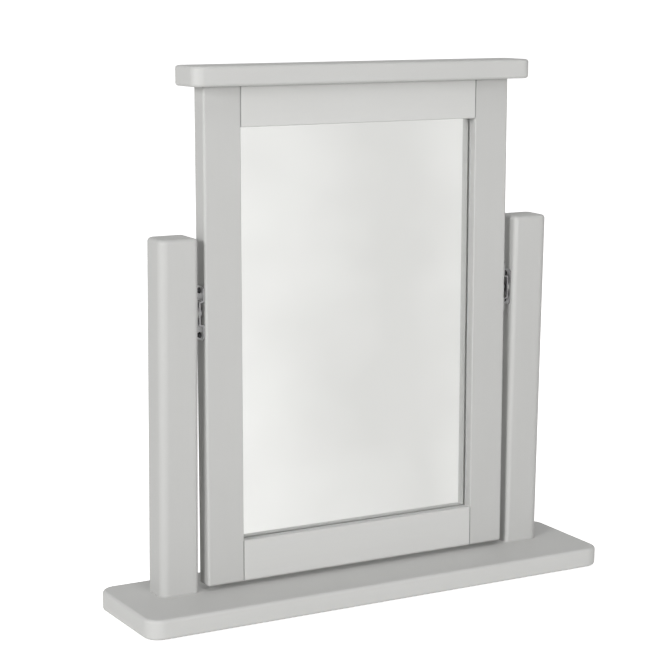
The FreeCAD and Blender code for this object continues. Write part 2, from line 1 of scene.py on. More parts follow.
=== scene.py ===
"""Looks of a painted dressing table mirror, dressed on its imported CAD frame.

Lengths are in metres in the CAD frame: X to the viewer's right, Y to the back, Z up.
"""

import logging
import math
from dataclasses import dataclass, field
from enum import Enum

import bmesh
import bpy
from mathutils import Matrix, Vector


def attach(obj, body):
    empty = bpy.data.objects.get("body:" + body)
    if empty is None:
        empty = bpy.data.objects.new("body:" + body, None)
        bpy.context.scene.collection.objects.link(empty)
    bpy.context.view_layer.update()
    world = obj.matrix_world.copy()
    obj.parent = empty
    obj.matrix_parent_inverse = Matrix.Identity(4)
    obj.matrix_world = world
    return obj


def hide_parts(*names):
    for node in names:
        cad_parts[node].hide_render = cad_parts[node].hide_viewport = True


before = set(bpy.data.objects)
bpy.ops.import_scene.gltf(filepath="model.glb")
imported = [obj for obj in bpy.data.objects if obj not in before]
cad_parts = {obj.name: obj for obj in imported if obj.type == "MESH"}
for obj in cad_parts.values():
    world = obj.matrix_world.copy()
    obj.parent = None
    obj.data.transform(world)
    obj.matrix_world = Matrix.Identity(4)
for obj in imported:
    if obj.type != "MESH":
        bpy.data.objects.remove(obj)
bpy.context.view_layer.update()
LOG = logging.getLogger("dressing_table_mirror")

Triple = tuple[float, float, float]
Colour = Triple
Tint = tuple[float, float, float, float]
Span = tuple[float, float]
Socket = bpy.types.NodeSocket
Sockets = bpy.types.bpy_prop_collection
SocketValue = Socket | float | tuple

UNIT: Span = (0.0, 1.0)
WHITE: Tint = (1.0, 1.0, 1.0, 1.0)
PAINT_COLOUR: Colour = (0.565, 0.565, 0.554)


class Grain(Enum):
    """Direction that a board's grain and brush marks run in."""

    UPRIGHT = (0.0, 0.0, 1.0)
    ACROSS = (1.0, 0.0, 0.0)


class Effect(Enum):
    """Surface effects that several finishes share, by the name of their node group."""

    GRAIN = "board_grain"
    MOTTLE = "soft_mottle"
    EDGE = "worn_edge"
    CREVICE = "dark_crevice"
    TOOTH = "fine_tooth"


class PaneFace(Enum):
    """Faces of the mirror pane, by the number of their material slot."""

    CLEAR = 0
    SILVER = 1
    RIM = 2


class NodeSheet:
    """A shader node tree with short ways to add nodes and to join them."""

    def __init__(self, tree: bpy.types.NodeTree) -> None:
        """Keep the tree that the nodes go into."""
        self.tree = tree

    def add(self, kind: str, inputs: dict | None = None, **settings: object) -> bpy.types.Node:
        """Add a node.

        Args:
            kind: Blender's name for the kind of node.
            inputs: Values or sockets for its inputs, by name or number.
            settings: The node's own settings.

        Returns:
            The new node.
        """
        node = self.tree.nodes.new(kind)
        for name, value in settings.items():
            setattr(node, name, value)
        for key, value in (inputs or {}).items():
            self.feed(node.inputs[key], value)
        return node

    def feed(self, socket: Socket, value: SocketValue) -> None:
        """Join a socket to an input, or set the input's value.

        Args:
            socket: The input.
            value: What goes into it.
        """
        if isinstance(value, Socket):
            self.tree.links.new(value, socket)
        else:
            socket.default_value = value

    def sum(self, operation: str, first: SocketValue, second: SocketValue) -> Socket:
        """Add a Math node and give its result."""
        return self.add("ShaderNodeMath", {0: first, 1: second}, operation=operation).outputs[0]

    def share(self, value: Socket, part: SocketValue) -> Socket:
        """Take a part of a value."""
        return self.sum("MULTIPLY", value, part)

    def mean(self, first: Socket, second: Socket) -> Socket:
        """Take the mean of two values."""
        return self.share(self.sum("ADD", first, second), 0.5)

    def vector(self, operation: str, first: SocketValue, second: SocketValue) -> Sockets:
        """Add a Vector Math node and give its outputs."""
        return self.add("ShaderNodeVectorMath", {0: first, 1: second}, operation=operation).outputs

    def span(self, value: SocketValue, old: Span, new: tuple[SocketValue, SocketValue]) -> Socket:
        """Map a value from an old range to a new one, clamped."""
        ends = {"Value": value, "From Min": old[0], "From Max": old[1], "To Min": new[0], "To Max": new[1]}
        return self.add("ShaderNodeMapRange", ends, clamp=True).outputs["Result"]

    def blend(self, mask: SocketValue, low: SocketValue, high: SocketValue) -> Socket:
        """Mix two colours by a mask.

        Args:
            mask: Share of the second colour.
            low: Colour where the mask is 0.
            high: Colour where it is 1.

        Returns:
            The mixed colour.
        """
        mix = self.add("ShaderNodeMix", data_type="RGBA")
        factor, first, second = mix.inputs[0], mix.inputs[6], mix.inputs[7]
        for socket, value in ((factor, mask), (first, low), (second, high)):
            self.feed(socket, value)
        return mix.outputs[2]

    def facing(self, axis: str) -> Socket:
        """How far the surface faces along one of the part's own axes."""
        normal = self.add("ShaderNodeTexCoord").outputs["Normal"]
        return self.add("ShaderNodeSeparateXYZ", {0: normal}).outputs[axis]


class EffectShelf:
    """Builds each shared effect once, as a node group with named sockets."""

    FINE_DETAIL, FINE_ROUGHNESS = 5.0, 0.6
    BROAD_SHARE, BROAD_DETAIL = 0.17, 3.0
    STREAK_SPAN: Span = (0.3, 0.7)
    PATCH_DETAIL, PATCH_MIDDLE = 4.0, 0.5
    EDGE_SAMPLES = 6
    EDGE_TURN: Span = (0.99, 0.85)
    CREVICE_SAMPLES = 8
    CREVICE_OPEN: Span = (0.95, 0.55)
    TOOTH_DETAIL = 3.0

    def __init__(self) -> None:
        """Build all the groups."""
        self.groups = {
            Effect.GRAIN: self.build_grain(),
            Effect.MOTTLE: self.build_mottle(),
            Effect.EDGE: self.build_edge(),
            Effect.CREVICE: self.build_crevice(),
            Effect.TOOTH: self.build_tooth(),
        }

    @staticmethod
    def start(
        effect: Effect, vectors: list[str], numbers: list[str], outputs: list[str],
    ) -> tuple[NodeSheet, Sockets, Sockets]:
        """Start a group with its sockets.

        Args:
            effect: Which effect it is.
            vectors: Names of the inputs that are vectors.
            numbers: Names of the inputs that are numbers.
            outputs: Names of the outputs, which are numbers.

        Returns:
            The group's sheet, the sockets that it is given and those that it makes.
        """
        tree = bpy.data.node_groups.new(effect.value, "ShaderNodeTree")
        for names, kind in ((vectors, "NodeSocketVector"), (numbers, "NodeSocketFloat")):
            for name in names:
                tree.interface.new_socket(name, in_out="INPUT", socket_type=kind)
        for name in outputs:
            tree.interface.new_socket(name, in_out="OUTPUT", socket_type="NodeSocketFloat")
        given, made = tree.nodes.new("NodeGroupInput"), tree.nodes.new("NodeGroupOutput")
        return NodeSheet(tree), given.outputs, made.inputs

    def build_grain(self) -> bpy.types.NodeTree:
        """Long streaks along a board, as brushed paint over wood shows them.

        Returns:
            The group.
        """
        sheet, given, made = self.start(
            Effect.GRAIN, ["Coordinate", "Direction"], ["Lines per Metre", "Stretch"], ["Streaks", "Height"],
        )
        lines = given["Lines per Metre"]
        squeeze = sheet.sum("SUBTRACT", sheet.sum("DIVIDE", 1.0, given["Stretch"]), 1.0)
        along = sheet.add("ShaderNodeVectorMath", {0: given["Direction"], "Scale": squeeze}, operation="SCALE")
        scale = sheet.vector("ADD", along.outputs["Vector"], (1.0, 1.0, 1.0))["Vector"]
        place = sheet.vector("MULTIPLY", given["Coordinate"], scale)["Vector"]
        fine = sheet.add("ShaderNodeTexNoise", {
            "Vector": place, "Scale": lines, "Detail": self.FINE_DETAIL, "Roughness": self.FINE_ROUGHNESS,
        })
        broad = sheet.add("ShaderNodeTexNoise", {
            "Vector": place, "Scale": sheet.share(lines, self.BROAD_SHARE), "Detail": self.BROAD_DETAIL,
        })
        both = sheet.mean(fine.outputs[0], broad.outputs[0])
        sheet.feed(made["Streaks"], sheet.span(both, self.STREAK_SPAN, UNIT))
        sheet.feed(made["Height"], both)
        return sheet.tree

    def build_mottle(self) -> bpy.types.NodeTree:
        """Soft cloudy patches with no direction.

        Returns:
            The group.
        """
        sheet, given, made = self.start(
            Effect.MOTTLE, ["Coordinate"], ["Patches per Metre", "Contrast"], ["Mask"],
        )
        noise = sheet.add("ShaderNodeTexNoise", {
            "Vector": given["Coordinate"], "Scale": given["Patches per Metre"], "Detail": self.PATCH_DETAIL,
        })
        swing = sheet.sum("SUBTRACT", noise.outputs[0], self.PATCH_MIDDLE)
        spread = sheet.sum("ADD", sheet.share(swing, given["Contrast"]), self.PATCH_MIDDLE)
        sheet.feed(made["Mask"], sheet.span(spread, UNIT, UNIT))
        return sheet.tree

    def build_edge(self) -> bpy.types.NodeTree:
        """Mask of a piece's outer edges, where a finish wears thin and where finishes paint a highlight.

        Returns:
            The group.
        """
        sheet, given, made = self.start(Effect.EDGE, [], ["Width"], ["Mask"])
        round_over = sheet.add("ShaderNodeBevel", {"Radius": given["Width"]}, samples=self.EDGE_SAMPLES)
        surface = sheet.add("ShaderNodeNewGeometry")
        turn = sheet.vector("DOT_PRODUCT", round_over.outputs["Normal"], surface.outputs["Normal"])
        sheet.feed(made["Mask"], sheet.span(turn["Value"], self.EDGE_TURN, UNIT))
        return sheet.tree

    def build_crevice(self) -> bpy.types.NodeTree:
        """Mask of tight joints and hollows, found by ambient occlusion, where finishes paint shade; in paint
        it also gives the dark joint lines.

        Returns:
            The group.
        """
        sheet, given, made = self.start(Effect.CREVICE, [], ["Reach"], ["Mask"])
        around = sheet.add(
            "ShaderNodeAmbientOcclusion", {"Distance": given["Reach"]}, samples=self.CREVICE_SAMPLES,
        )
        sheet.feed(made["Mask"], sheet.span(around.outputs["AO"], self.CREVICE_OPEN, UNIT))
        return sheet.tree

    def build_tooth(self) -> bpy.types.NodeTree:
        """Fine even roughness, from sprayed lacquer to pressed fibre.

        Returns:
            The group.
        """
        sheet, given, made = self.start(Effect.TOOTH, ["Coordinate"], ["Grains per Metre"], ["Height"])
        place = {"Vector": given["Coordinate"], "Scale": given["Grains per Metre"]}
        grains = sheet.add("ShaderNodeTexVoronoi", place, feature="SMOOTH_F1")
        noise = sheet.add("ShaderNodeTexNoise", {**place, "Detail": self.TOOTH_DETAIL})
        sheet.feed(made["Height"], sheet.sum("ADD", grains.outputs["Distance"], noise.outputs[0]))
        return sheet.tree

    def place(self, sheet: NodeSheet, effect: Effect, **values: SocketValue) -> Sockets:
        """Put an effect into a material.

        Args:
            sheet: The material's nodes.
            effect: Which effect.
            values: Its inputs, with their names in lower case joined by underscores.

        Returns:
            What the effect puts out.
        """
        node = sheet.add("ShaderNodeGroup", node_tree=self.groups[effect])
        for name, value in values.items():
            words = [word if word == "per" else word.capitalize() for word in name.split("_")]
            sheet.feed(node.inputs[" ".join(words)], value)
        return node.outputs

    def mottle(self, sheet: NodeSheet, place: Socket, per_metre: float, contrast: float) -> Socket:
        """Put soft patches into a material and give their mask."""
        values = {"coordinate": place, "patches_per_metre": per_metre, "contrast": contrast}
        return self.place(sheet, Effect.MOTTLE, **values)["Mask"]


@dataclass(frozen=True)
class Finish:
    """What all finishes share: a name, and the way a material is started, tinted and given relief."""

    name: str

    def start(self) -> tuple[bpy.types.Material, NodeSheet, bpy.types.Node, Socket]:
        """Start a material.

        Returns:
            The material, its nodes, its Principled BSDF and the place on the surface in metres.
        """
        material = bpy.data.materials.new(self.name)
        material.use_nodes = True
        material.node_tree.nodes.clear()
        sheet = NodeSheet(material.node_tree)
        surface = sheet.add("ShaderNodeBsdfPrincipled")
        sheet.add("ShaderNodeOutputMaterial", {"Surface": surface.outputs[0]})
        place = sheet.add("ShaderNodeTexCoord").outputs["Object"]
        return material, sheet, surface, place

    @staticmethod
    def shade(colour: Colour, share: float) -> Tint:
        """A colour made lighter or darker by a share of itself."""
        return (*(channel * share for channel in colour), 1.0)

    @classmethod
    def clouded(cls, sheet: NodeSheet, patches: Socket, colour: Colour, tones: Span) -> Socket:
        """A colour that drifts between two tones of itself."""
        return sheet.blend(patches, cls.shade(colour, tones[0]), cls.shade(colour, tones[1]))

    @staticmethod
    def bump(sheet: NodeSheet, surface: bpy.types.Node, height: Socket, strength: float, depth: float) -> None:
        """Give a surface its relief."""
        relief = sheet.add("ShaderNodeBump", {"Strength": strength, "Distance": depth, "Height": height})
        sheet.feed(surface.inputs["Normal"], relief.outputs[0])


@dataclass(frozen=True)
class PaintFinish(Finish):
    """Satin paint on a board, with faint brush marks along the grain, edges lightened as wear and painted
    highlight, and on front faces dark joint lines and painted shade in crevices.
    """

    colour: Colour
    grain: Grain
    tone: float = 1.0
    joint_shade: float = 0.8
    lines_per_metre: float = 420.0
    line_stretch: float = 28.0
    streak_share: float = 0.18
    streak_tone: float = 1.10
    patches_per_metre: float = 7.0
    patch_contrast: float = 2.0
    patch_tones: Span = (0.98, 1.01)
    edge_width: float = 0.0016
    edge_share: float = 0.12
    edge_wear_and_highlight_tone: float = 1.22
    joint_reach: float = 0.0025
    joint_and_shade_tone: float = 0.25
    front_span: Span = (-0.2, -0.6)
    tooth_per_metre: float = 900.0
    tooth_share: float = 0.25
    gloss_shares: Span = (0.6, 0.4)
    gloss_span: Span = (0.2, 0.8)
    gloss_range: Span = (0.40, 0.50)
    specular: float = 0.4
    relief: float = 0.10
    relief_depth: float = 0.0004

    def tint(self, share: float) -> Tint:
        """The paint in this board's tone, made lighter or darker by a share."""
        return self.shade(self.colour, self.tone * share)

    def material(self, effects: EffectShelf) -> bpy.types.Material:
        """Make the paint.

        Args:
            effects: The shared effects.

        Returns:
            The material.
        """
        material, sheet, surface, place = self.start()
        brush = effects.place(
            sheet, Effect.GRAIN, coordinate=place, direction=self.grain.value,
            lines_per_metre=self.lines_per_metre, stretch=self.line_stretch,
        )
        patches = effects.mottle(sheet, place, self.patches_per_metre, self.patch_contrast)
        edge = effects.place(sheet, Effect.EDGE, width=self.edge_width)["Mask"]
        crevice_shade = effects.place(sheet, Effect.CREVICE, reach=self.joint_reach)["Mask"]
        tooth = effects.place(
            sheet, Effect.TOOTH, coordinate=place, grains_per_metre=self.tooth_per_metre,
        )["Height"]
        cloudy = sheet.blend(patches, self.tint(self.patch_tones[0]), self.tint(self.patch_tones[1]))
        streaks = sheet.share(brush["Streaks"], self.streak_share)
        brushed = sheet.blend(streaks, cloudy, self.tint(self.streak_tone))
        # Painted highlight and wear: outer edges are made lighter, partly thinner paint, partly painted
        # highlight where edges catch the light.
        worn_and_highlit = sheet.blend(sheet.share(edge, self.edge_share), brushed, self.tint(self.edge_wear_and_highlight_tone))
        in_front = sheet.span(sheet.facing("Y"), self.front_span, (0.0, self.joint_shade))
        # Painted shade: ambient occlusion darkens tight corners on front faces, partly real dark joint lines,
        # partly shade under the cornice and at contacts.
        joints_and_shade = sheet.blend(sheet.share(crevice_shade, in_front), worn_and_highlit, self.tint(self.joint_and_shade_tone))
        sheet.feed(surface.inputs["Base Color"], joints_and_shade)
        from_patches = sheet.share(patches, self.gloss_shares[0])
        from_streaks = sheet.share(brush["Streaks"], self.gloss_shares[1])
        gloss = sheet.sum("ADD", from_patches, from_streaks)
        sheet.feed(surface.inputs["Roughness"], sheet.span(gloss, self.gloss_span, self.gloss_range))
        surface.inputs["Specular IOR Level"].default_value = self.specular
        film = sheet.sum("ADD", brush["Height"], sheet.share(tooth, self.tooth_share))
        self.bump(sheet, surface, film, self.relief, self.relief_depth)
        return material


@dataclass(frozen=True)
class SteelFinish(Finish):
    """Plated or blackened steel with a faint grain from rolling, duller on cut edges, with painted shade in
    hollows and painted highlights on edges.
    """

    colour: Colour
    gloss_range: Span
    cut_tone: float = 1.0
    hollow_shade_share: float = 0.85
    hollow_shade_tone: float = 0.2
    hollow_reach: float = 0.006
    direction: Grain = Grain.UPRIGHT
    lines_per_metre: float = 2600.0
    line_stretch: float = 14.0
    patches_per_metre: float = 160.0
    patch_contrast: float = 2.4
    patch_tones: Span = (0.82, 1.08)
    edge_width: float = 0.0004
    edge_share: float = 0.5
    edge_wear_and_highlight_tone: float = 1.15
    cut_span: Span = (0.3, 0.6)
    gloss_span: Span = (0.2, 0.8)
    relief: float = 0.12
    relief_depth: float = 0.0001

    def material(self, effects: EffectShelf) -> bpy.types.Material:
        """Make the metal.

        Args:
            effects: The shared effects.

        Returns:
            The material.
        """
        material, sheet, surface, place = self.start()
        patches = effects.mottle(sheet, place, self.patches_per_metre, self.patch_contrast)
        rolled = effects.place(
            sheet, Effect.GRAIN, coordinate=place, direction=self.direction.value,
            lines_per_metre=self.lines_per_metre, stretch=self.line_stretch,
        )
        edge = effects.place(sheet, Effect.EDGE, width=self.edge_width)["Mask"]
        crevice_shade = effects.place(sheet, Effect.CREVICE, reach=self.hollow_reach)["Mask"]
        plated = self.clouded(sheet, patches, self.colour, self.patch_tones)
        sawn = self.clouded(sheet, patches, self.shade(self.colour, self.cut_tone)[:3], self.patch_tones)
        # Painted highlight: the edges of the metal are made lighter.
        bright = sheet.blend(
            sheet.share(edge, self.edge_share), plated, self.shade(self.colour, self.edge_wear_and_highlight_tone),
        )
        cut = sheet.span(sheet.sum("ABSOLUTE", sheet.facing("X"), 0.0), self.cut_span, (1.0, 0.0))
        sheared = sheet.blend(cut, bright, sawn)
        # Painted shade: hollows of the metal are darkened by ambient occlusion.
        shaded_in_hollows = sheet.blend(
            sheet.share(crevice_shade, self.hollow_shade_share), sheared, self.shade(self.colour, self.hollow_shade_tone),
        )
        sheet.feed(surface.inputs["Base Color"], shaded_in_hollows)
        surface.inputs["Metallic"].default_value = 1.0
        haze = sheet.mean(patches, rolled["Streaks"])
        sheet.feed(surface.inputs["Roughness"], sheet.span(haze, self.gloss_span, self.gloss_range))
        self.bump(sheet, surface, rolled["Height"], self.relief, self.relief_depth)
        return material


@dataclass(frozen=True)
class ClearGlassFinish(Finish):
    """Front and edges of the float glass."""

    tint: Tint = (0.985, 0.99, 0.985, 1.0)
    patches_per_metre: float = 14.0
    patch_contrast: float = 1.8
    haze_span: Span = (0.4, 1.0)
    haze_range: Span = (0.0, 0.006)
    refraction: float = 1.52

    def material(self, effects: EffectShelf) -> bpy.types.Material:
        """Make the glass, with a trace of haze from polishing.

        Args:
            effects: The shared effects.

        Returns:
            The material.
        """
        material, sheet, surface, place = self.start()
        haze = effects.mottle(sheet, place, self.patches_per_metre, self.patch_contrast)
        sheet.feed(surface.inputs["Base Color"], sheet.blend(haze, self.tint, WHITE))
        sheet.feed(surface.inputs["Roughness"], sheet.span(haze, self.haze_span, self.haze_range))
        surface.inputs["IOR"].default_value = self.refraction
        surface.inputs["Transmission Weight"].default_value = 1.0
        return material


@dataclass(frozen=True)
class SilverFinish(Finish):
    """Silvering on the back of the glass."""

    colour: Colour
    patches_per_metre: float = 9.0
    patch_contrast: float = 1.6
    patch_tones: Span = (0.985, 1.0)

    def material(self, effects: EffectShelf) -> bpy.types.Material:
        """Make the silver coat.

        Args:
            effects: The shared effects.

        Returns:
            The material.
        """
        material, sheet, surface, place = self.start()
        patches = effects.mottle(sheet, place, self.patches_per_metre, self.patch_contrast)
        coat = self.clouded(sheet, patches, self.colour, self.patch_tones)
        sheet.feed(surface.inputs["Base Color"], coat)
        surface.inputs["Metallic"].default_value = 1.0
        surface.inputs["Roughness"].default_value = 0.0
        return material


@dataclass(frozen=True)
class RimFinish(Finish):
    """Rim of the glass under the frame's lip, with painted light: it glows to stand in for the light that the
    silver throws there.
    """

    colour: Colour
    painted_glow: float
    roughness: float = 0.8
    patches_per_metre: float = 12.0
    patch_contrast: float = 1.6
    patch_tones: Span = (0.95, 1.05)

    def material(self, effects: EffectShelf) -> bpy.types.Material:
        """Make the rim.

        Args:
            effects: The shared effects.

        Returns:
            The material.
        """
        material, sheet, surface, place = self.start()
        patches = effects.mottle(sheet, place, self.patches_per_metre, self.patch_contrast)
        tint = self.clouded(sheet, patches, self.colour, self.patch_tones)
        for socket in ("Base Color", "Emission Color"):
            sheet.feed(surface.inputs[socket], tint)
        # Painted light: the rim glows though it is no lamp.
        surface.inputs["Emission Strength"].default_value = self.painted_glow
        surface.inputs["Roughness"].default_value = self.roughness
        return material


@dataclass(frozen=True)
class FibreFinish(Finish):
    """Pressed or spun fibre, such as the back board or the felt pads, and dull moulded plastic."""

    colour: Colour
    contrast: float
    grains_per_metre: float
    relief_depth: float
    roughness: float
    sheen: float = 0.0
    grains_per_patch: float = 8.0
    patch_contrast: float = 3.0
    tooth_span: Span = (0.4, 1.4)
    gloss_spread: float = 0.06
    relief: float = 0.5

    def material(self, effects: EffectShelf) -> bpy.types.Material:
        """Make the fibre.

        Args:
            effects: The shared effects.

        Returns:
            The material.
        """
        material, sheet, surface, place = self.start()
        patches = effects.mottle(
            sheet, place, self.grains_per_metre / self.grains_per_patch, self.patch_contrast,
        )
        tooth = effects.place(
            sheet, Effect.TOOTH, coordinate=place, grains_per_metre=self.grains_per_metre,
        )["Height"]
        fleck = sheet.mean(patches, sheet.span(tooth, self.tooth_span, UNIT))
        flecked = self.clouded(sheet, fleck, self.colour, (1.0 - self.contrast, 1.0 + self.contrast))
        sheet.feed(surface.inputs["Base Color"], flecked)
        gloss_range = (self.roughness - self.gloss_spread, self.roughness)
        sheet.feed(surface.inputs["Roughness"], sheet.span(fleck, UNIT, gloss_range))
        surface.inputs["Sheen Weight"].default_value = self.sheen
        self.bump(sheet, surface, tooth, self.relief, self.relief_depth)
        return material


def dress(finish: Finish, effects: EffectShelf, *nodes: str) -> None:
    """Give CAD nodes their material.

    Args:
        finish: The finish that they share.
        effects: The shared effects.
        nodes: The nodes' names.
    """
    material = finish.material(effects)
    for node in nodes:
        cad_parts[node].material_slots[0].material = material
        LOG.info("dressed %s in %s", node, material.name)


def mesh_of(name: str, shape: bmesh.types.BMesh) -> bpy.types.Mesh:
    """Turn a finished shape into a mesh.

    Args:
        name: The mesh's name.
        shape: The shape, which is freed.

    Returns:
        The mesh.
    """
    mesh = bpy.data.meshes.new(name)
    shape.to_mesh(mesh)
    shape.free()
    return mesh


def add_object(data: bpy.types.ID) -> bpy.types.Object:
    """Put a mesh, lamp or camera into the scene.

    Args:
        data: What is put there, which also gives its name.

    Returns:
        The object.
    """
    thing = bpy.data.objects.new(data.name, data)
    bpy.context.scene.collection.objects.link(thing)
    return thing


@dataclass
class Stand:
    """Plinth board, posts, pads and the screws under the posts."""

    board: PaintFinish = PaintFinish("plinth_paint", PAINT_COLOUR, Grain.ACROSS, tone=1.04, joint_shade=0.15)
    post: PaintFinish = PaintFinish("post_paint", PAINT_COLOUR, Grain.UPRIGHT, tone=0.95, joint_shade=0.15)
    felt: FibreFinish = FibreFinish("pad_felt", (0.03, 0.03, 0.032), 0.5, 2400.0, 0.0003, 0.95, sheen=0.3)
    screw: SteelFinish = SteelFinish("post_screw_zinc", (0.55, 0.55, 0.56), (0.28, 0.42))

    def dress(self, effects: EffectShelf) -> None:
        """Dress the stand's nodes.

        Args:
            effects: The shared effects.
        """
        dress(self.board, effects, "base_board")
        dress(self.post, effects, "left_post", "right_post")
        dress(self.felt, effects, "felt_pads")
        dress(self.screw, effects, "post_screws")


@dataclass
class MirrorFrame:
    """The four members of the frame and the cornice board on top."""

    # The stiles' 0.945 and the rails' 1.12 tones are painted sheen: rails lighter, standing in for lacquer
    # brushed across catching more light.
    stile: PaintFinish = PaintFinish("stile_paint", PAINT_COLOUR, Grain.UPRIGHT, tone=0.945)
    rail: PaintFinish = PaintFinish("rail_paint_painted_sheen", PAINT_COLOUR, Grain.ACROSS, tone=1.12)
    cornice: PaintFinish = PaintFinish("cornice_paint", PAINT_COLOUR, Grain.ACROSS, tone=1.0)

    def dress(self, effects: EffectShelf) -> None:
        """Dress the frame's nodes.

        Args:
            effects: The shared effects.
        """
        dress(self.stile, effects, "left_stile", "right_stile")
        dress(self.rail, effects, "top_rail", "bottom_rail")
        dress(self.cornice, effects, "cornice_board")


@dataclass
class MirrorPane:
    """Silvered glass, the board behind it and that board's staples."""

    glass: ClearGlassFinish = ClearGlassFinish("clear_glass")
    silver: SilverFinish = SilverFinish("silvering", (0.94, 0.945, 0.94))
    rim: RimFinish = RimFinish("glass_rim_painted_glow", (0.5, 0.5, 0.49), 0.45)
    board: FibreFinish = FibreFinish("back_board_fibre", (0.42, 0.41, 0.39), 0.10, 1500.0, 0.00012, 0.75)
    staple: SteelFinish = SteelFinish("staple_zinc", (0.55, 0.55, 0.56), (0.25, 0.38))
    slack: float = 0.00006
    arris: float = 0.0008
    rim_width: float = 0.0059
    square_on: float = 0.99

    def measure(self) -> tuple[Matrix, Vector, Vector]:
        """Take the pane's lean, middle and sides from its node.

        Returns:
            The turn from the pane's own axes to the part's, then its middle and its sides along its own axes.
        """
        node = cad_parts["mirror_glass"].data
        facing = max(node.polygons, key=lambda face: face.area).normal
        back = facing if facing.y > 0.0 else -facing
        across = Vector((1.0, 0.0, 0.0))
        axes = (across, back, across.cross(back))
        reach = [sorted(corner.co.dot(axis) for corner in node.vertices) for axis in axes]
        middle = Vector([(line[-1] + line[0]) / 2.0 for line in reach])
        sides = Vector([line[-1] - line[0] - 2.0 * self.slack for line in reach])
        return Matrix(axes).transposed().to_4x4(), middle, sides

    def build(self, effects: EffectShelf) -> None:
        """Make the pane a hair thinner than its node, so that the silver lies clear of the board behind.

        Args:
            effects: The shared effects.
        """
        turn, middle, sides = self.measure()
        shape = bmesh.new()
        bmesh.ops.create_cube(shape, matrix=Matrix.Translation(middle) @ Matrix.Diagonal(sides).to_4x4())
        bmesh.ops.bevel(shape, geom=shape.edges[:], offset=self.arris, segments=1, affect="EDGES")
        for face in shape.faces:
            kind = PaneFace.SILVER if face.normal.y > self.square_on else PaneFace.CLEAR
            face.material_index = kind.value
        front = [face for face in shape.faces if face.normal.y < -self.square_on]
        for face in bmesh.ops.inset_individual(shape, faces=front, thickness=self.rim_width)["faces"]:
            face.material_index = PaneFace.RIM.value
        shape.transform(turn)
        pane = add_object(mesh_of("silvered_pane", shape))
        finishes = {PaneFace.CLEAR: self.glass, PaneFace.SILVER: self.silver, PaneFace.RIM: self.rim}
        for kind in PaneFace:
            pane.data.materials.append(finishes[kind].material(effects))
        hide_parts("mirror_glass")
        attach(pane, "mirror")
        LOG.info("built %s", pane.name)

    def dress(self, effects: EffectShelf) -> None:
        """Build the pane and dress what is behind it.

        Args:
            effects: The shared effects.
        """
        self.build(effects)
        dress(self.board, effects, "back_panel")
        dress(self.staple, effects, "back_panel_staples")


@dataclass
class SwivelHinges:
    """The two friction hinges between posts and frame."""

    plate: SteelFinish = SteelFinish(
        "hinge_zinc", (0.86, 0.86, 0.87), (0.38, 0.52), cut_tone=0.32, hollow_shade_share=0.35,
    )
    # Screw heads are set near black, 0.10, far darker than the zinc plates.
    screw: SteelFinish = SteelFinish("hinge_screw_dark", (0.10, 0.10, 0.105), (0.40, 0.54))
    spring: SteelFinish = SteelFinish("spring_black", (0.16, 0.16, 0.17), (0.35, 0.5))
    washer: FibreFinish = FibreFinish("washer_nylon", (0.78, 0.77, 0.74), 0.04, 1800.0, 0.00003, 0.45)

    def dress(self, effects: EffectShelf) -> None:
        """Dress the hinges' nodes.

        Args:
            effects: The shared effects.
        """
        dress(
            self.plate, effects, "left_post_plate", "right_post_plate",
            "left_frame_bracket", "right_frame_bracket", "pivot_studs",
        )
        dress(self.screw, effects, "bracket_screws", "plate_screws")
        dress(self.spring, effects, "spring_washers")
        dress(self.washer, effects, "spacer_washers")


@dataclass(frozen=True)
class Softbox:
    """A square studio lamp that points at a spot."""

    name: str
    place: Triple
    aim: Triple
    side: float
    watts: float

    def build(self) -> None:
        """Make the lamp."""
        lamp = bpy.data.lights.new(self.name, "AREA")
        lamp.shape = "SQUARE"
        lamp.size = self.side
        lamp.energy = self.watts
        holder = add_object(lamp)
        holder.location = self.place
        holder.rotation_euler = (Vector(self.aim) - Vector(self.place)).to_track_quat("-Z", "Y").to_euler()


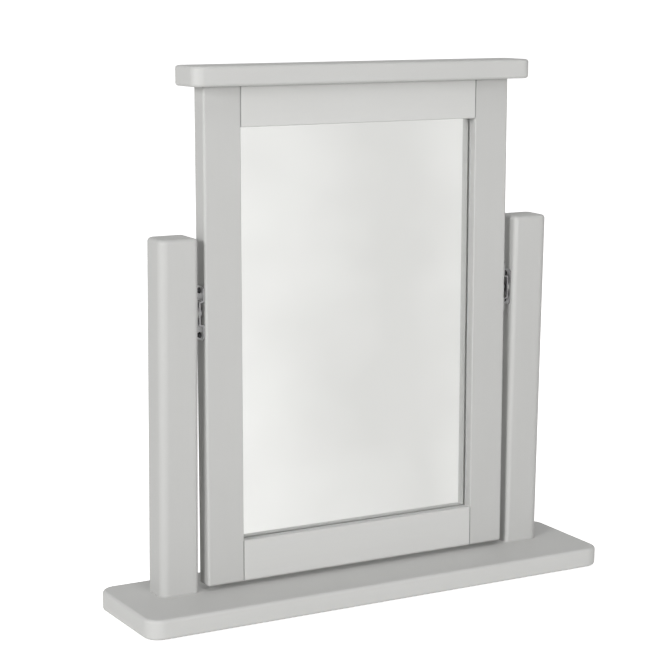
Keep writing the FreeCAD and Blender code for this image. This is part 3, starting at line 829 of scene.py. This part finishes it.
@dataclass
class Studio:
    """White sweep, soft light and the camera of the photograph."""

    floor_half: float = 30.0
    floor_colour: Colour = (0.90, 0.90, 0.89)
    floor_lift: float = 0.85
    sky: float = 0.20
    backdrop: float = 0.60
    backdrop_span: Span = (0.0, 0.7)
    room_pale: Tint = (0.772, 0.767, 0.753, 1.0)
    room_bright: Tint = (0.975, 0.97, 0.955, 1.0)
    room_high: Tint = (0.55, 0.55, 0.54, 1.0)
    room_high_span: Span = (0.0, 0.16)
    room_side: Triple = (0.866, 0.5, 0.10)
    room_left_span: Span = (-0.037, 0.058)
    room_right_span: Span = (0.070, 0.104)
    room_right_share: float = 0.4
    cloud_scale: float = 17.0
    cloud_detail: float = 2.0
    cloud_share: float = 0.09
    lamps: list[Softbox] = field(default_factory=lambda: [
        Softbox("key_left", (-5.2, -2.4, 2.05), (0.0, 0.0, 0.25), 1.8, 182.0),
        Softbox("fill_front", (0.32, -5.28, 1.05), (0.0, 0.0, 0.25), 1.9, 92.0),
        Softbox("top_front", (-0.75, -2.25, 5.85), (0.0, 0.0, 0.1), 2.5, 62.0),
    ])
    eye: Triple = (-1.02119, -1.69857, 0.64032)
    heading: float = 30.1855
    dip: float = 12.2163
    roll: float = 0.7024
    lens_mm: float = 110.835
    shift: Span = (0.0, 0.075)

    def build(self) -> None:
        """Set up the floor, the world, the lamps, the camera and the colour view."""
        self.build_floor()
        self.build_world()
        for lamp in self.lamps:
            lamp.build()
        self.build_camera()
        bpy.context.scene.view_settings.view_transform = "Standard"

    @staticmethod
    def seen_by(sheet: NodeSheet) -> tuple[Socket, Socket]:
        """Tell apart the rays that show a background.

        Args:
            sheet: The nodes that ask.

        Returns:
            Masks of camera rays, and of rays that come off metal or through glass.
        """
        path = sheet.add("ShaderNodeLightPath").outputs
        polished = sheet.sum("MAXIMUM", path["Is Glossy Ray"], path["Is Transmission Ray"])
        return path["Is Camera Ray"], polished

    def build_floor(self) -> None:
        """Make the white floor, which keeps the part's shadow and is clear to the mirror."""
        shape = bmesh.new()
        bmesh.ops.create_grid(shape, x_segments=1, y_segments=1, size=self.floor_half)
        floor = add_object(mesh_of("floor", shape))
        material = bpy.data.materials.new("floor_sweep")
        material.use_nodes = True
        material.node_tree.nodes.clear()
        sheet = NodeSheet(material.node_tree)
        camera, polished = self.seen_by(sheet)
        matt = sheet.add("ShaderNodeBsdfDiffuse", {"Color": (*self.floor_colour, 1.0)})
        lift = sheet.add("ShaderNodeEmission", {"Strength": sheet.share(camera, self.floor_lift)})
        lit = sheet.add("ShaderNodeAddShader", {0: matt.outputs[0], 1: lift.outputs[0]})
        clear = sheet.add("ShaderNodeBsdfTransparent")
        both = sheet.add("ShaderNodeMixShader", {0: polished, 1: lit.outputs[0], 2: clear.outputs[0]})
        sheet.add("ShaderNodeOutputMaterial", {"Surface": both.outputs[0]})
        floor.data.materials.append(material)

    def build_room(self, sheet: NodeSheet, direction: Socket, height: Socket) -> Socket:
        """Make the pale cloudy room that shows in the mirror.

        Args:
            sheet: The world's nodes.
            direction: Where a ray goes.
            height: How far it goes up.

        Returns:
            The room's colour.
        """
        clouds = sheet.add("ShaderNodeTexNoise", {
            "Vector": direction, "Scale": self.cloud_scale, "Detail": self.cloud_detail,
        })
        side = sheet.vector("DOT_PRODUCT", direction, self.room_side)["Value"]
        drift = sheet.sum("ADD", side, sheet.share(clouds.outputs[0], self.cloud_share))
        left = sheet.span(drift, self.room_left_span, (1.0, 0.0))
        right = sheet.span(drift, self.room_right_span, (0.0, self.room_right_share))
        below = sheet.blend(sheet.sum("MAXIMUM", left, right), self.room_pale, self.room_bright)
        return sheet.blend(sheet.span(height, self.room_high_span, UNIT), below, self.room_high)

    def build_world(self) -> None:
        """Make the surroundings: white behind the part, the room in the mirror, more light from behind."""
        world = bpy.data.worlds.new("studio")
        world.use_nodes = True
        world.node_tree.nodes.clear()
        bpy.context.scene.world = world
        sheet = NodeSheet(world.node_tree)
        camera, polished = self.seen_by(sheet)
        direction = sheet.add("ShaderNodeTexCoord").outputs["Generated"]
        axes = sheet.add("ShaderNodeSeparateXYZ", {0: direction}).outputs
        seen = sheet.blend(polished, WHITE, self.build_room(sheet, direction, axes["Z"]))
        light = sheet.span(axes["Y"], self.backdrop_span, (self.sky, self.backdrop))
        strength = sheet.span(sheet.sum("MAXIMUM", camera, polished), UNIT, (light, 1.0))
        background = sheet.add("ShaderNodeBackground", {"Color": seen, "Strength": strength})
        sheet.add("ShaderNodeOutputWorld", {"Surface": background.outputs[0]})

    def build_camera(self) -> None:
        """Set the camera where the photograph was taken from."""
        turn, tip, lean = math.radians(self.heading), math.radians(self.dip), math.radians(self.roll)
        forward = Vector((math.sin(turn) * math.cos(tip), math.cos(turn) * math.cos(tip), -math.sin(tip)))
        level = Vector((math.cos(turn), -math.sin(turn), 0.0))
        upright = level.cross(forward)
        right = level * math.cos(lean) + upright * math.sin(lean)
        up = upright * math.cos(lean) - level * math.sin(lean)
        camera = bpy.data.cameras.new("photo_camera")
        camera.lens = self.lens_mm
        camera.shift_x, camera.shift_y = self.shift
        holder = add_object(camera)
        axes = Matrix((right, up, -forward)).transposed().to_4x4()
        holder.matrix_world = Matrix.Translation(self.eye) @ axes
        bpy.context.scene.camera = holder


def main() -> None:
    """Dress the part and light it."""
    logging.basicConfig(level=logging.INFO, format="%(name)s: %(message)s")
    effects = EffectShelf()
    for assembly in (Stand(), MirrorFrame(), MirrorPane(), SwivelHinges()):
        assembly.dress(effects)
    Studio().build()


if __name__ == "__main__":
    main()
